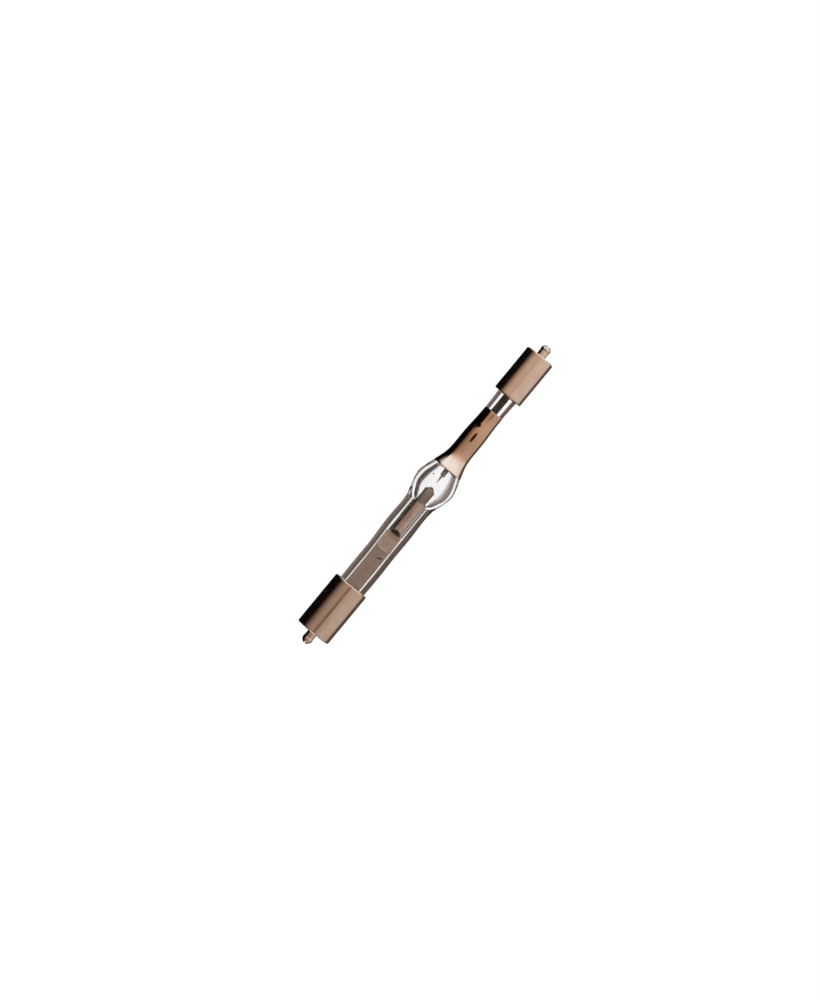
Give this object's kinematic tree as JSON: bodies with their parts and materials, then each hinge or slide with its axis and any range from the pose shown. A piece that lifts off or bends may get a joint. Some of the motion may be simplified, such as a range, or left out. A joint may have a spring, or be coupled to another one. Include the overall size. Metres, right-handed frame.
{
  "type": "mercury arc lamp",
  "caption": "Short-arc mercury lamp: a quartz bulb between two stems with metal end caps, tungsten electrodes, sealing foils and a heat-reflecting film.",
  "frame": {"origin": "centre of the outer face of the larger (anode) cap, on the lamp's axis; its short terminal reaches 3.3 mm below it", "axes": "+Z along the lamp's axis from the anode cap to the cathode cap; -Y is the side that the flat anode foil faces"},
  "size_m": [0.0102, 0.0102, 0.0901],
  "materials": {
    "fused_quartz": "gloss",
    "film_metal": "gloss",
    "tungsten": "satin",
    "molybdenum": "satin",
    "cement": "matte",
    "cap_metal": "satin",
    "solder": "satin",
    "mercury": "polished"
  },
  "bodies": {
    "root": {"quartz_envelope": "fused_quartz", "heat_film": "film_metal", "anode": "tungsten", "anode_shank": "tungsten", "anode_foil": "molybdenum", "anode_foil_plate": "molybdenum", "anode_lead": "molybdenum", "anode_cement": "cement", "anode_cap": "cap_metal", "anode_bead": "solder", "cathode": "tungsten", "cathode_coil": "tungsten", "cathode_foil": "molybdenum", "cathode_lead": "molybdenum", "cathode_cement": "cement", "cathode_cap": "cap_metal", "cathode_bead": "solder", "mercury_drop_1": "mercury", "mercury_drop_2": "mercury", "mercury_drop_3": "mercury"}
  },
  "joints": []
}
